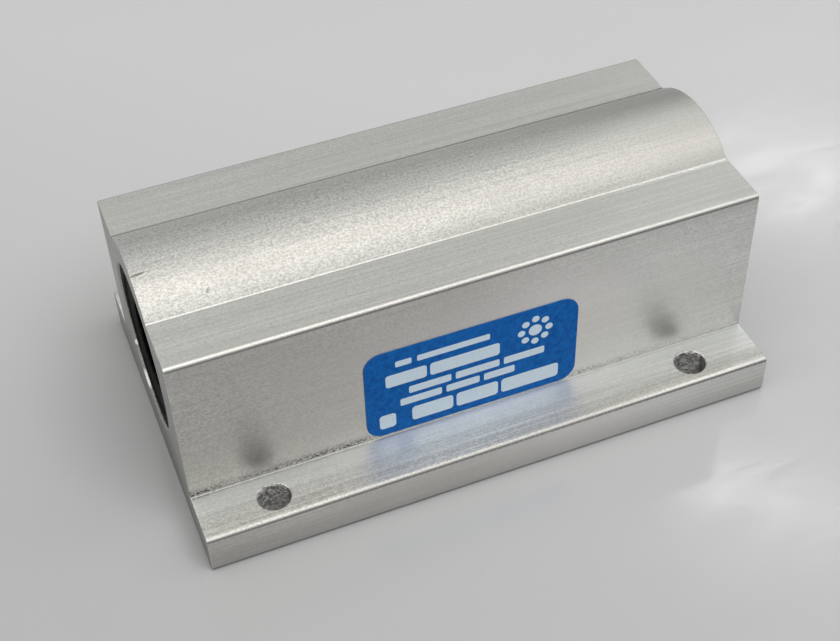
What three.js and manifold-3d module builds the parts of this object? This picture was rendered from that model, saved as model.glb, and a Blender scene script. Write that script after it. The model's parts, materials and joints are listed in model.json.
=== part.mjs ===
// Twin closed linear ball bushing pillow block for a 5/8 inch shaft.
//
// An extruded aluminium housing carries two ball bushings in one bore. Each is held between two
// internal snap rings, and a rubber seal closes each end. A bushing is a polymer ball retainer
// with ten ball circuits, five double-track bearing plates that rock on a hardened race ring,
// and two polymer sleeves that close the retainer.
//
// Millimetres, +X along the shaft, +Z up, origin at the centre of the base's underside.

import * as THREE from "three";
import { mergeVertices } from "three/addons/utils/BufferGeometryUtils.js";
import Module from "manifold-3d";

const wasm = await Module();
wasm.setup();

const INCH = 25.4;
const DEGREE = Math.PI / 180;
const QUARTER_TURN = Math.PI / 2;
const HALF_TURN = Math.PI;
const FULL_TURN = 2 * Math.PI;

// Clearance left between pieces that touch on the real object
const GAP = 0.15;

// Housing
const LENGTH = 4 * INCH;
const BASE_WIDTH = 2.5 * INCH;
const BASE_THICKNESS = 0.3 * INCH;
const BODY_WIDTH = 44;
const SHOULDER_HEIGHT = 37.1;
const SHAFT_HEIGHT = 0.875 * INCH;
const HOUSING_HEIGHT = 1.625 * INCH;
const BARREL_RADIUS = 17.2;
const LONG_EDGE_RADIUS = 0.9;
const BORE_RADIUS = 0.5625 * INCH;
const BORE_CHAMFER = 0.4;
const BOLT_HOLE_RADIUS = 0.11 * INCH;
const BOLT_SPACING_ALONG = 3 * INCH;
const BOLT_SPACING_ACROSS = 2.125 * INCH;

// Label
const LABEL_WIDTH = 1.5 * INCH;
const LABEL_HEIGHT = 0.75 * INCH;
const LABEL_THICKNESS = 0.12;
const LABEL_CORNER = 3;
const LABEL_CENTRE_X = -0.95;
const LABEL_CENTRE_Z = 17.48;
const LABEL_TILT = 0.36 * DEGREE;
const LABEL_STAND_OFF = 0.04;

// Balls
const SHAFT_RADIUS = 0.3125 * INCH;
const BALL_RADIUS = (3 / 64) * INCH;
const LOADED_BALLS = 9;
const RETURN_BALLS = 14;

// Ball circuits: a loaded row and a return row, joined by a half turn at each end
const TRACK_HALF_LENGTH = 12;
const LOADED_ROW_ANGLE = 9 * DEGREE;
const RETURN_ROW_ANGLE = 27 * DEGREE;
const LOADED_ROW_RADIUS = SHAFT_RADIUS + BALL_RADIUS;
const RETURN_ROW_RADIUS = 10.6;
const CHANNEL_RADIUS = BALL_RADIUS + GAP;
const ROW_TIP_SCALE = 0.45;

// Bushing, race ring and sleeves
const BUSHING_LENGTH = 1.5 * INCH;
const BUSHING_RADIUS = BORE_RADIUS - GAP;
const BUSHING_CENTRE_X = 25.35;
const RACE_HALF_LENGTH = 8;
const RACE_INNER_RADIUS = 12.6;
const SLEEVE_END_THICKNESS = 1.15;
const SLEEVE_END_RADIUS = 8.9;
const SLEEVE_GROOVE_CENTRE = 0.5575 * INCH;
const SLEEVE_GROOVE_WIDTH = 1.4;
const SLEEVE_GROOVE_DEPTH = 0.5;

// Bearing plates
const PLATES = 5;
const PLATE_PITCH = FULL_TURN / PLATES;
const PLATE_HALF_LENGTH = 11.6;
const PLATE_HALF_ANGLE = 17 * DEGREE;
const PLATE_INNER_RADIUS = 9.75;
const PLATE_CROWN_RADIUS = RACE_INNER_RADIUS - GAP;
const PLATE_CROWN_DROP = 0.2;
const PLATE_GROOVE_RADIUS = BALL_RADIUS + 0.2;

// Retainer
const RETAINER_HALF_LENGTH = BUSHING_LENGTH / 2 - SLEEVE_END_THICKNESS - GAP;
const RETAINER_INNER_RADIUS = 8.35;
const RETAINER_OUTER_RADIUS = 12.35;
const POCKET_HALF_LENGTH = PLATE_HALF_LENGTH + 0.4;
const POCKET_HALF_ANGLE = 17.8 * DEGREE;
const POCKET_FLOOR_RADIUS = 9.45;

// Links that join neighbouring return rows, and the notches in the retainer that clear them
const LINK_SIZE = [0.8, 1.8, 0.5];
const LINK_RADIUS = 10.45;
const NOTCH_SIZE = [1.4, 1.6, 4];
const NOTCH_RADIUS = 11.95;

// Seals
const SEAL_RECESS = 0.4;
const SEAL_THICKNESS = 4.4;
const SEAL_LIP_RADIUS = 7.8;

// Snap rings
const SNAP_RING_THICKNESS = 1.07;
const SNAP_GROOVE_WIDTH = 1.25;
const SNAP_GROOVE_RADIUS = BORE_RADIUS + 0.7;
const SNAP_RING_OUTER_RADIUS = SNAP_GROOVE_RADIUS - GAP;
const SNAP_RING_INNER_RADIUS = 12.4;
const SNAP_RING_HALF_OPENING = 13 * DEGREE;
const SNAP_LUG_ANGLE = 15 * DEGREE;
const SNAP_LUG_RADIUS = 10.3;
const SNAP_LUG_HOLE_RADIUS = 0.7;

// How finely round shapes are cut into facets
const BORE_SEGMENTS = 32;
const RING_SEGMENTS = 24;
const RETAINER_SEGMENTS = 20;
const BARREL_SEGMENTS = 10;
const EDGE_SEGMENTS = 3;
const HOLE_SEGMENTS = 16;
const ROW_SIDES = 6;
const TURN_SEGMENTS = 4;

// ---------------------------------------------------------------- helpers

// Evenly spaced values from one number to another, both included.
function steps(from, to, count) {
  return Array.from({ length: count + 1 }, (_, i) => from + ((to - from) * i) / count);
}

// Points along an arc, both ends included.
function arc(x, y, radius, from, to, count) {
  return steps(from, to, count).map(
    (t) => new THREE.Vector2(x + radius * Math.cos(t), y + radius * Math.sin(t)),
  );
}

// A point at an angle round the shaft's axis.
function polar(x, radius, angle) {
  return new THREE.Vector3(x, radius * Math.cos(angle), radius * Math.sin(angle));
}

// A three.js geometry as a manifold-3d solid.
function toSolid(geometry) {
  const bare = new THREE.BufferGeometry();
  bare.setAttribute("position", geometry.getAttribute("position"));
  bare.setIndex(geometry.index);
  const merged = mergeVertices(bare);
  return new wasm.Manifold(
    new wasm.Mesh({
      numProp: 3,
      vertProperties: merged.getAttribute("position").array,
      triVerts: new Uint32Array(merged.index.array),
    }),
  );
}

// A manifold-3d solid as a three.js geometry.
function toGeometry(solid) {
  const mesh = solid.getMesh();
  const geometry = new THREE.BufferGeometry();
  geometry.setAttribute("position", new THREE.BufferAttribute(mesh.vertProperties, 3));
  geometry.setIndex(new THREE.BufferAttribute(mesh.triVerts, 1));
  geometry.computeVertexNormals();
  return geometry;
}

// Turns a flat shape's x, y and extrusion direction into Y, Z and X.
const SHAPE_TO_PART = new THREE.Matrix4().makeBasis(
  new THREE.Vector3(0, 1, 0),
  new THREE.Vector3(0, 0, 1),
  new THREE.Vector3(1, 0, 0),
);

// Turns a lathe's own axis, its y, into X.
const LATHE_TO_PART = new THREE.Matrix4().makeBasis(
  new THREE.Vector3(0, 1, 0),
  new THREE.Vector3(1, 0, 0),
  new THREE.Vector3(0, 0, -1),
);

// A prism along X, centred on X = 0, whose outline is drawn in Y and Z.
function prism(shape, length) {
  const geometry = new THREE.ExtrudeGeometry(shape, { depth: length, bevelEnabled: false });
  return geometry.translate(0, 0, -length / 2).applyMatrix4(SHAPE_TO_PART);
}

// A body turned round the X axis from [x, radius] points whose outer stretches run towards -X.
function turned(outline, segments) {
  const points = outline.map(([x, radius]) => new THREE.Vector2(radius, x)).reverse();
  return new THREE.LatheGeometry(points, segments).applyMatrix4(LATHE_TO_PART);
}

// A ring turned round the X axis from a closed outline of such points.
function ring(outline, segments) {
  return turned([...outline, outline[0]], segments);
}

// A closed skin over rings of equal length that follow each other, each ring running
// anticlockwise round the way they go. An open skin gets a flat cap at each end.
function loft(rings, closed = false) {
  const triangles = [];
  const spans = closed ? rings.length : rings.length - 1;
  for (let i = 0; i < spans; i++) {
    const near = rings[i];
    const far = rings[(i + 1) % rings.length];
    near.forEach((point, j) => {
      const k = (j + 1) % near.length;
      triangles.push(point, near[k], far[k], point, far[k], far[j]);
    });
  }
  if (!closed) {
    triangles.push(...cap(rings.at(-1)), ...cap(rings[0]).reverse());
  }
  return new THREE.BufferGeometry().setFromPoints(triangles);
}

// The triangles that fill a flat ring, facing along its own normal.
function cap(points) {
  const normal = new THREE.Vector3();
  points.forEach((point, i) => normal.add(point.clone().cross(points[(i + 1) % points.length])));
  const across = points[1].clone().sub(points[0]);
  const up = normal.cross(across).normalize();
  across.normalize();
  const flat = points.map((point) => new THREE.Vector2(point.dot(across), point.dot(up)));
  return THREE.ShapeUtils.triangulateShape(flat, []).flatMap((corners) =>
    corners.map((corner) => points[corner]),
  );
}

// ---------------------------------------------------------------- housing and label

// The extrusion's section: a flanged base, upright walls, flat shoulders and a round barrel.
function housingSection() {
  const base = BASE_WIDTH / 2;
  const wall = BODY_WIDTH / 2;
  const barrelHeight = HOUSING_HEIGHT - BARREL_RADIUS;
  const valley = Math.asin((SHOULDER_HEIGHT - barrelHeight) / BARREL_RADIUS);
  const radius = LONG_EDGE_RADIUS;
  const edge = (across, up, start) =>
    arc(across - radius, up, radius, start, start + QUARTER_TURN, EDGE_SEGMENTS);
  const right = [
    ...edge(base, radius, -QUARTER_TURN),
    ...edge(base, BASE_THICKNESS - radius, 0),
    new THREE.Vector2(wall, BASE_THICKNESS),
    ...edge(wall, SHOULDER_HEIGHT - radius, 0),
    ...arc(0, barrelHeight, BARREL_RADIUS, valley, QUARTER_TURN, BARREL_SEGMENTS),
  ];
  const left = right
    .slice(0, -1)
    .reverse()
    .map((point) => new THREE.Vector2(-point.x, point.y));
  return new THREE.Shape([...right, ...left]);
}

// The through bore with its end chamfers and snap ring grooves.
function boreCutter() {
  const end = LENGTH / 2;
  const past = 1;
  const half = SNAP_GROOVE_WIDTH / 2;
  const grooves = snapRingPlaces()
    .toReversed()
    .flatMap((x) => [
      [x + half, BORE_RADIUS],
      [x + half, SNAP_GROOVE_RADIUS],
      [x - half, SNAP_GROOVE_RADIUS],
      [x - half, BORE_RADIUS],
    ]);
  const outline = [
    [end + past, 0],
    [end + past, BORE_RADIUS + BORE_CHAMFER + past],
    [end - BORE_CHAMFER, BORE_RADIUS],
    ...grooves,
    [-end + BORE_CHAMFER, BORE_RADIUS],
    [-end - past, BORE_RADIUS + BORE_CHAMFER + past],
    [-end - past, 0],
  ];
  return turned(outline, BORE_SEGMENTS).translate(0, 0, SHAFT_HEIGHT);
}

// One of the bolt holes through the base's flanges.
function boltHoleCutter(sideX, sideY) {
  const drill = new THREE.CylinderGeometry(
    BOLT_HOLE_RADIUS,
    BOLT_HOLE_RADIUS,
    2 * BASE_THICKNESS,
    HOLE_SEGMENTS,
  );
  return drill
    .rotateX(QUARTER_TURN)
    .translate(
      (sideX * BOLT_SPACING_ALONG) / 2,
      (sideY * BOLT_SPACING_ACROSS) / 2,
      BASE_THICKNESS / 2,
    );
}

function housing() {
  let solid = toSolid(prism(housingSection(), LENGTH)).subtract(toSolid(boreCutter()));
  for (const sideX of [-1, 1]) {
    for (const sideY of [-1, 1]) {
      solid = solid.subtract(toSolid(boltHoleCutter(sideX, sideY)));
    }
  }
  return toGeometry(solid);
}

// The self-adhesive label, drawn flat with its printed face up.
function label() {
  const x = LABEL_WIDTH / 2 - LABEL_CORNER;
  const y = LABEL_HEIGHT / 2 - LABEL_CORNER;
  const corners = [
    [x, y],
    [-x, y],
    [-x, -y],
    [x, -y],
  ];
  const outline = corners.flatMap(([centreX, centreY], i) => {
    const from = i * QUARTER_TURN;
    return arc(centreX, centreY, LABEL_CORNER, from, from + QUARTER_TURN, 4);
  });
  return new THREE.ExtrudeGeometry(new THREE.Shape(outline), {
    depth: LABEL_THICKNESS,
    bevelEnabled: false,
  });
}

// ---------------------------------------------------------------- seals and snap rings

// A rubber seal, from x = 0 to its thickness, with a lip at each face that rides on the shaft.
function seal() {
  const rim = BORE_RADIUS - GAP;
  const shoulder = 11.6;
  const web = 9.6;
  const lipInset = 0.5;
  const lipDepth = 1.6;
  return ring(
    [
      [0, rim],
      [0, shoulder],
      [lipInset, SEAL_LIP_RADIUS],
      [lipDepth, web],
      [SEAL_THICKNESS - lipDepth, web],
      [SEAL_THICKNESS - lipInset, SEAL_LIP_RADIUS],
      [SEAL_THICKNESS, shoulder],
      [SEAL_THICKNESS, rim],
    ],
    RING_SEGMENTS,
  );
}

// Where the four snap rings sit along X, from left to right.
function snapRingPlaces() {
  const reach = BUSHING_LENGTH / 2 + GAP + SNAP_RING_THICKNESS / 2;
  return [-1, 1].flatMap((side) => [
    side * BUSHING_CENTRE_X - reach,
    side * BUSHING_CENTRE_X + reach,
  ]);
}

// An internal snap ring, open at the bottom, with a lug and a plier hole at each end.
function snapRing() {
  const start = SNAP_RING_HALF_OPENING - QUARTER_TURN;
  const end = 1.5 * HALF_TURN - SNAP_RING_HALF_OPENING;
  const lug = SNAP_LUG_ANGLE;
  const shape = new THREE.Shape([
    ...arc(0, 0, SNAP_RING_OUTER_RADIUS, start, end, 24),
    ...arc(0, 0, SNAP_LUG_RADIUS, end, end - lug, 2),
    ...arc(0, 0, SNAP_RING_INNER_RADIUS, end - lug, start + lug, 20),
    ...arc(0, 0, SNAP_LUG_RADIUS, start + lug, start, 2),
  ]);
  const holeRadius = (SNAP_LUG_RADIUS + SNAP_RING_OUTER_RADIUS) / 2;
  for (const angle of [start + lug / 2, end - lug / 2]) {
    const x = holeRadius * Math.cos(angle);
    const y = holeRadius * Math.sin(angle);
    const hole = arc(x, y, SNAP_LUG_HOLE_RADIUS, 0, FULL_TURN, 8).slice(1);
    shape.holes.push(new THREE.Path(hole));
  }
  return prism(shape, SNAP_RING_THICKNESS);
}

// ---------------------------------------------------------------- race ring and sleeves

// The hardened ring that the bearing plates rock on.
function raceRing() {
  const end = RACE_HALF_LENGTH;
  return ring(
    [
      [-end, BUSHING_RADIUS],
      [-end, RACE_INNER_RADIUS],
      [end, RACE_INNER_RADIUS],
      [end, BUSHING_RADIUS],
    ],
    RING_SEGMENTS,
  );
}

// The polymer sleeve that closes the +X end of the retainer, with its snap ring groove.
function sleeve() {
  const start = RACE_HALF_LENGTH + GAP;
  const end = BUSHING_LENGTH / 2;
  const inside = end - SLEEVE_END_THICKNESS;
  const grooveStart = SLEEVE_GROOVE_CENTRE - SLEEVE_GROOVE_WIDTH / 2;
  const grooveEnd = SLEEVE_GROOVE_CENTRE + SLEEVE_GROOVE_WIDTH / 2;
  const grooveFloor = BUSHING_RADIUS - SLEEVE_GROOVE_DEPTH;
  return ring(
    [
      [start, BUSHING_RADIUS],
      [start, RACE_INNER_RADIUS],
      [inside, RACE_INNER_RADIUS],
      [inside, SLEEVE_END_RADIUS],
      [end, SLEEVE_END_RADIUS],
      [end, BUSHING_RADIUS],
      [grooveEnd, BUSHING_RADIUS],
      [grooveEnd, grooveFloor],
      [grooveStart, grooveFloor],
      [grooveStart, BUSHING_RADIUS],
    ],
    RING_SEGMENTS,
  );
}

// ---------------------------------------------------------------- ball circuits

// Where a plate stands round the shaft, the first one at the top.
function plateAngle(index) {
  return QUARTER_TURN + index * PLATE_PITCH;
}

// The flat plane that one circuit lies in. "across" runs from its loaded row to its return row,
// and "out" away from the shaft. side is 1 or -1, for a plate's two circuits.
function circuitPlane(angle, side) {
  const loaded = polar(0, LOADED_ROW_RADIUS, angle + side * LOADED_ROW_ANGLE);
  const back = polar(0, RETURN_ROW_RADIUS, angle + side * RETURN_ROW_ANGLE);
  const across = back.clone().sub(loaded);
  const turnRadius = across.length() / 2;
  across.normalize();
  const out = across.clone().cross(new THREE.Vector3(side, 0, 0));
  return { loaded, middle: loaded.clone().lerp(back, 0.5), across, out, turnRadius };
}

// Points round the turn at one end of a circuit. Angle 0 is its loaded side and a half turn is
// its return side.
function turnPoints(plane, end, angles) {
  return angles.map((angle) => {
    const sideways = plane.across.clone().multiplyScalar(-Math.cos(angle));
    sideways.x = end * Math.sin(angle);
    const at = plane.middle.clone().addScaledVector(sideways, plane.turnRadius);
    at.x += end * TRACK_HALF_LENGTH;
    return { at, sideways };
  });
}

// A section of [sideways, out] points carried along a path, shrunk where a point has a scale.
function sweep(path, plane, section, closed) {
  const rings = path.map(({ at, sideways, scale = 1 }) =>
    section.map(([s, o]) =>
      at
        .clone()
        .addScaledVector(sideways, s * scale)
        .addScaledVector(plane.out, o * scale),
    ),
  );
  const solid = toSolid(loft(rings, closed));
  return solid.volume() > 0 ? solid : toSolid(loft(rings.reverse(), closed));
}

// Corners of a round section, as [sideways, out] pairs.
function roundSection(radius, from, to, count) {
  return arc(0, 0, radius, from, to, count).map((point) => point.toArray());
}

// The whole section of a row of balls.
function rowSection() {
  return roundSection(BALL_RADIUS, 0, FULL_TURN, ROW_SIDES).slice(1);
}

// Space for one circuit: round under the balls and open outwards.
function channelCutter(angle, side) {
  const plane = circuitPlane(angle, side);
  const angles = steps(0, HALF_TURN, TURN_SEGMENTS);
  const path = [...turnPoints(plane, 1, angles), ...turnPoints(plane, -1, angles.toReversed())];
  const height = RETAINER_OUTER_RADIUS - SHAFT_RADIUS;
  const section = [
    ...roundSection(CHANNEL_RADIUS, HALF_TURN, FULL_TURN, ROW_SIDES / 2),
    [CHANNEL_RADIUS, height],
    [-CHANNEL_RADIUS, height],
  ];
  return sweep(path, plane, section, true);
}

// The loaded row of one circuit, as a rod as long and as thick as its balls.
function loadedBalls(angle, side) {
  const plane = circuitPlane(angle, side);
  const end = LOADED_BALLS * BALL_RADIUS;
  const full = end - BALL_RADIUS;
  const path = [-end, -full, full, end].map((x) => ({
    at: plane.loaded.clone().setX(x),
    sideways: plane.across,
    scale: Math.abs(x) > full ? ROW_TIP_SCALE : 1,
  }));
  return toGeometry(sweep(path, plane, rowSection(), false));
}

// The rest of one circuit's balls, as a rod along the return row and round both turns.
function returnRow(angle, side) {
  const plane = circuitPlane(angle, side);
  const turnLength = RETURN_BALLS * BALL_RADIUS - TRACK_HALF_LENGTH;
  const tip = HALF_TURN - turnLength / plane.turnRadius;
  const angles = [tip, ...steps(0, HALF_TURN, TURN_SEGMENTS).slice(2)];
  const path = [...turnPoints(plane, 1, angles), ...turnPoints(plane, -1, angles.toReversed())];
  path[0].scale = ROW_TIP_SCALE;
  path.at(-1).scale = ROW_TIP_SCALE;
  return sweep(path, plane, rowSection(), false);
}

// A box halfway between one plate and the next, at a radius from the shaft's axis.
function boxBetweenPlates(angle, size, radius) {
  const box = new THREE.BoxGeometry(...size).translate(0, 0, radius);
  return toSolid(box.rotateX(angle + PLATE_PITCH / 2 - QUARTER_TURN));
}

// The two return rows that lie between one plate and the next, joined by their link.
function returnBalls(angle) {
  const link = boxBetweenPlates(angle, LINK_SIZE, LINK_RADIUS);
  return toGeometry(returnRow(angle, 1).add(returnRow(angle + PLATE_PITCH, -1)).add(link));
}

// ---------------------------------------------------------------- retainer and plates

// Space for one bearing plate.
function pocketCutter(angle) {
  const reach = RETAINER_OUTER_RADIUS + 2;
  const corners = [
    [POCKET_FLOOR_RADIUS, -1],
    [reach, -1],
    [reach, 1],
    [POCKET_FLOOR_RADIUS, 1],
  ];
  const rings = [-1, 1].map((end) =>
    corners.map(([radius, side]) =>
      polar(end * POCKET_HALF_LENGTH, radius, angle + side * POCKET_HALF_ANGLE),
    ),
  );
  return toSolid(loft(rings));
}

// The ball retainer: a tube with a pocket for each plate and a channel for each circuit.
function retainer() {
  const end = RETAINER_HALF_LENGTH;
  const tube = ring(
    [
      [-end, RETAINER_OUTER_RADIUS],
      [-end, RETAINER_INNER_RADIUS],
      [end, RETAINER_INNER_RADIUS],
      [end, RETAINER_OUTER_RADIUS],
    ],
    RETAINER_SEGMENTS,
  );
  let solid = toSolid(tube);
  for (let i = 0; i < PLATES; i++) {
    const angle = plateAngle(i);
    solid = solid
      .subtract(pocketCutter(angle))
      .subtract(channelCutter(angle, 1))
      .subtract(channelCutter(angle, -1))
      .subtract(boxBetweenPlates(angle, NOTCH_SIZE, NOTCH_RADIUS));
  }
  return toGeometry(solid);
}

// Corners of the groove over one loaded row, in Y and Z for a plate at angle 0.
function plateGroove(side) {
  const middle = side * LOADED_ROW_ANGLE;
  const reach = Math.acos((PLATE_INNER_RADIUS - LOADED_ROW_RADIUS) / PLATE_GROOVE_RADIUS);
  const centre = polar(0, LOADED_ROW_RADIUS, middle);
  return arc(centre.y, centre.z, PLATE_GROOVE_RADIUS, middle + reach, middle - reach, 4);
}

// One bearing plate: crowned along its back, with a groove over each loaded row.
function bearingPlate(angle) {
  const inner = arc(0, 0, PLATE_INNER_RADIUS, PLATE_HALF_ANGLE, -PLATE_HALF_ANGLE, 1);
  const underside = [inner[0], ...plateGroove(1), ...plateGroove(-1), inner[1]];
  const rings = [-1, 0, 1].map((end) => {
    const radius = PLATE_CROWN_RADIUS - PLATE_CROWN_DROP * Math.abs(end);
    const back = arc(0, 0, radius, -PLATE_HALF_ANGLE, PLATE_HALF_ANGLE, 4);
    return [...back, ...underside].map(
      (point) => new THREE.Vector3(end * PLATE_HALF_LENGTH, point.x, point.y),
    );
  });
  return loft(rings).rotateX(angle);
}

// ---------------------------------------------------------------- assembly

function material(color, roughness, metalness) {
  return new THREE.MeshStandardMaterial({ color, roughness, metalness });
}

function part(name, geometry, finish) {
  const mesh = new THREE.Mesh(geometry, finish);
  mesh.name = name;
  return mesh;
}

const aluminium = () => material(0xb4b5ae, 0.38, 0.9);
const bluePrint = () => material(0x0b5a9e, 0.35, 0);
const rubber = () => material(0x17181a, 0.6, 0);
const springSteel = () => material(0x4a4b4d, 0.35, 0.9);
const raceSteel = () => material(0x9fa1a3, 0.25, 1);
const ballSteel = () => material(0xc9cbcd, 0.12, 1);
const blackPolymer = () => material(0x1b1b1c, 0.5, 0);
const palePolymer = () => material(0xd9d4c4, 0.5, 0);

// One whole bushing. outward is the X direction of its sealed end.
function bushing(name, outward) {
  const group = new THREE.Group();
  group.add(part(`${name}_race_ring`, raceRing(), raceSteel()));
  group.add(part(`${name}_ball_retainer`, retainer(), palePolymer()));
  const outerSleeve = part(`${name}_outer_sleeve`, sleeve(), blackPolymer());
  const innerSleeve = part(`${name}_inner_sleeve`, sleeve(), blackPolymer());
  const facingLeft = outward < 0 ? outerSleeve : innerSleeve;
  facingLeft.rotation.z = HALF_TURN;
  group.add(outerSleeve, innerSleeve);
  for (let i = 0; i < PLATES; i++) {
    const angle = plateAngle(i);
    const number = i + 1;
    group.add(part(`${name}_bearing_plate_${number}`, bearingPlate(angle), raceSteel()));
    group.add(part(`${name}_loaded_balls_${number}a`, loadedBalls(angle, -1), ballSteel()));
    group.add(part(`${name}_loaded_balls_${number}b`, loadedBalls(angle, 1), ballSteel()));
    group.add(part(`${name}_return_balls_${number}`, returnBalls(angle), ballSteel()));
  }
  group.position.set(outward * BUSHING_CENTRE_X, 0, SHAFT_HEIGHT);
  return group;
}

function placedLabel() {
  const mesh = part("label", label(), bluePrint());
  mesh.rotation.set(QUARTER_TURN, 0, -LABEL_TILT);
  mesh.position.set(LABEL_CENTRE_X, -BODY_WIDTH / 2 - LABEL_STAND_OFF, LABEL_CENTRE_Z);
  return mesh;
}

function placedSeal(name, outward) {
  const mesh = part(name, seal(), rubber());
  mesh.rotation.z = outward > 0 ? HALF_TURN : 0;
  mesh.position.set(outward * (LENGTH / 2 - SEAL_RECESS), 0, SHAFT_HEIGHT);
  return mesh;
}

const group = new THREE.Group();
group.add(part("pillow_block_housing", housing(), aluminium()));
group.add(placedLabel());
group.add(placedSeal("left_end_seal", -1));
group.add(placedSeal("right_end_seal", 1));
snapRingPlaces().forEach((x, i) => {
  const mesh = part(`snap_ring_${i + 1}`, snapRing(), springSteel());
  mesh.position.set(x, 0, SHAFT_HEIGHT);
  group.add(mesh);
});
group.add(bushing("left_bushing", -1));
group.add(bushing("right_bushing", 1));

export default group;
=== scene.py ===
# The looks of a twin ball bushing pillow block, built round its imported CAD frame.
# Metres, in the frame's axes: +X along the shaft, +Y away from the label, +Z up from the base.

import json
import math
import random

import bmesh
import bpy
from mathutils import Matrix, Vector


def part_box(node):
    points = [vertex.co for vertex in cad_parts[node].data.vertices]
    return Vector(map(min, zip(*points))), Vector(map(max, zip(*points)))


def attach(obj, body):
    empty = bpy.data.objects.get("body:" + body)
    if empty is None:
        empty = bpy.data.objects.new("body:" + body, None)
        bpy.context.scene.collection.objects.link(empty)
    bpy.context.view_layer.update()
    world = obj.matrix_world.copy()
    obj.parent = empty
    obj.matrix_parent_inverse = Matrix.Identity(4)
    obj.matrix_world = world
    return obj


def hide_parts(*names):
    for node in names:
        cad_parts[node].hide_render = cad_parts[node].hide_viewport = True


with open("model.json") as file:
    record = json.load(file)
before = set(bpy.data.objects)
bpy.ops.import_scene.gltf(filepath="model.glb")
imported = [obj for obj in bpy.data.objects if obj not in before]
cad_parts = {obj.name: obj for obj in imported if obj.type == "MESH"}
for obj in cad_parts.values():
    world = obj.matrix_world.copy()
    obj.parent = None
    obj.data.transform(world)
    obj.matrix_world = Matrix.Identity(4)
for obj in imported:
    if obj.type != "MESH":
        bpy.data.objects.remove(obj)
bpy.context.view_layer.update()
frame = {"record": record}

MM = 0.001
DEGREE = math.pi / 180
QUARTER_TURN = math.pi / 2
HALF_TURN = math.pi
FULL_TURN = 2 * math.pi

# Housing
HOUSING_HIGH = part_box("pillow_block_housing")[1]
HALF_LENGTH = HOUSING_HIGH.x
BASE_HALF_WIDTH = HOUSING_HIGH.y
HOUSING_TOP = HOUSING_HIGH.z
MOUNTS = {mount["name"]: mount["pos_m"] for mount in frame["record"]["mounts"]}
BASE_THICKNESS = MOUNTS["bolt_seat_left_front"][2]
WALL_HALF_WIDTH = 22 * MM
SHOULDER_HEIGHT = 37.1 * MM
BARREL_RADIUS = 17.2 * MM
BARREL_HEIGHT = HOUSING_TOP - BARREL_RADIUS
VALLEY_Y = math.sqrt(BARREL_RADIUS**2 - (SHOULDER_HEIGHT - BARREL_HEIGHT) ** 2)
VALLEY_EDGE = 0.5 * MM
WALL_FILLET = 0.15 * MM
LONG_EDGE = 0.9 * MM
END_EDGE = 0.16 * MM
HOLE_RADIUS = 2.794 * MM
HOLE_X = 38.1 * MM
HOLE_Y = MOUNTS["bolt_seat_left_rear"][1]
HOLE_CHAMFER = 0.14 * MM

# Marks of use on the housing, and painted glints on the bore's edge: the centre and half sizes of each
BARREL_NICK = ((-49.6 * MM, -3.7 * MM, 40.9 * MM), (1.6 * MM, 0.3 * MM, 1.2 * MM))
BARREL_SMUDGE = ((-40.1 * MM, -9.2 * MM, 38.9 * MM), (0.75 * MM, 0.4 * MM, 1.0 * MM))
BORE_GLINT_EDGE = ((-50.6 * MM, 5.7 * MM, 9.0 * MM), (0.9 * MM, 2.6 * MM, 1.3 * MM))
BORE_GLINT_SPOT = ((-50.6 * MM, 11.0 * MM, 13.1 * MM), (0.6 * MM, 0.6 * MM, 0.6 * MM))

# Bore and seals
SEAL_LOW, SEAL_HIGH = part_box("left_end_seal")
SHAFT_HEIGHT = (SEAL_LOW.z + SEAL_HIGH.z) / 2
SEAL_RADIUS = (SEAL_HIGH.z - SEAL_LOW.z) / 2
SEAL_THICKNESS = SEAL_HIGH.x - SEAL_LOW.x
BORE_RADIUS = SEAL_RADIUS + 0.15 * MM
BORE_CHAMFER = 0.35 * MM
SEAL_LIP_RADIUS = 7.8 * MM

# Snap rings, and their grooves in the bore
RING_BOXES = [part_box(f"snap_ring_{number}") for number in range(1, 5)]
RING_OUTER_RADIUS = RING_BOXES[0][1].y
RING_INNER_RADIUS = 12.4 * MM
RING_LUG_RADIUS = 10.3 * MM
RING_HALF_OPENING = 13 * DEGREE
RING_LUG_ANGLE = 15 * DEGREE
PLIER_HOLE_RADIUS = 0.7 * MM
RING_CLEARANCE = 0.09 * MM
GROOVE_RADIUS = RING_OUTER_RADIUS + 0.15 * MM

# Balls and their circuits
SHAFT_RADIUS = 7.9375 * MM
BALL_RADIUS = 1.190625 * MM
LOADED_BALLS = 9
RETURN_BALLS = 14
TRACK_HALF_LENGTH = 12 * MM
LOADED_ROW_ANGLE = 9 * DEGREE
RETURN_ROW_ANGLE = 27 * DEGREE
LOADED_ROW_RADIUS = SHAFT_RADIUS + BALL_RADIUS
RETURN_ROW_RADIUS = 10.6 * MM
CHANNEL_RADIUS = BALL_RADIUS + 0.08 * MM
CHANNEL_HEIGHT = 4.5 * MM

# Bushings
BUSHINGS = ("left", "right")
BUSHING_HALF_LENGTH = 19.05 * MM
BUSHING_CENTRES = {
    "left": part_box("left_bushing_outer_sleeve")[0].x + BUSHING_HALF_LENGTH,
    "right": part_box("right_bushing_outer_sleeve")[1].x - BUSHING_HALF_LENGTH,
}
BUSHING_RADIUS = SEAL_RADIUS
RACE_HALF_LENGTH = 8 * MM
RACE_INNER_RADIUS = 12.6 * MM
SLEEVE_GAP = 0.15 * MM
SLEEVE_END_THICKNESS = 1.15 * MM
SLEEVE_END_RADIUS = 8.9 * MM
SLEEVE_GROOVE_CENTRE = 14.16 * MM
SLEEVE_GROOVE_WIDTH = 1.4 * MM
SLEEVE_GROOVE_DEPTH = 0.5 * MM
PLATES = 5
PLATE_PITCH = FULL_TURN / PLATES
PLATE_HALF_LENGTH = 11.6 * MM
PLATE_HALF_ANGLE = 17 * DEGREE
PLATE_INNER_RADIUS = 9.75 * MM
PLATE_CROWN_RADIUS = 12.45 * MM
PLATE_CROWN_DROP = 0.2 * MM
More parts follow.
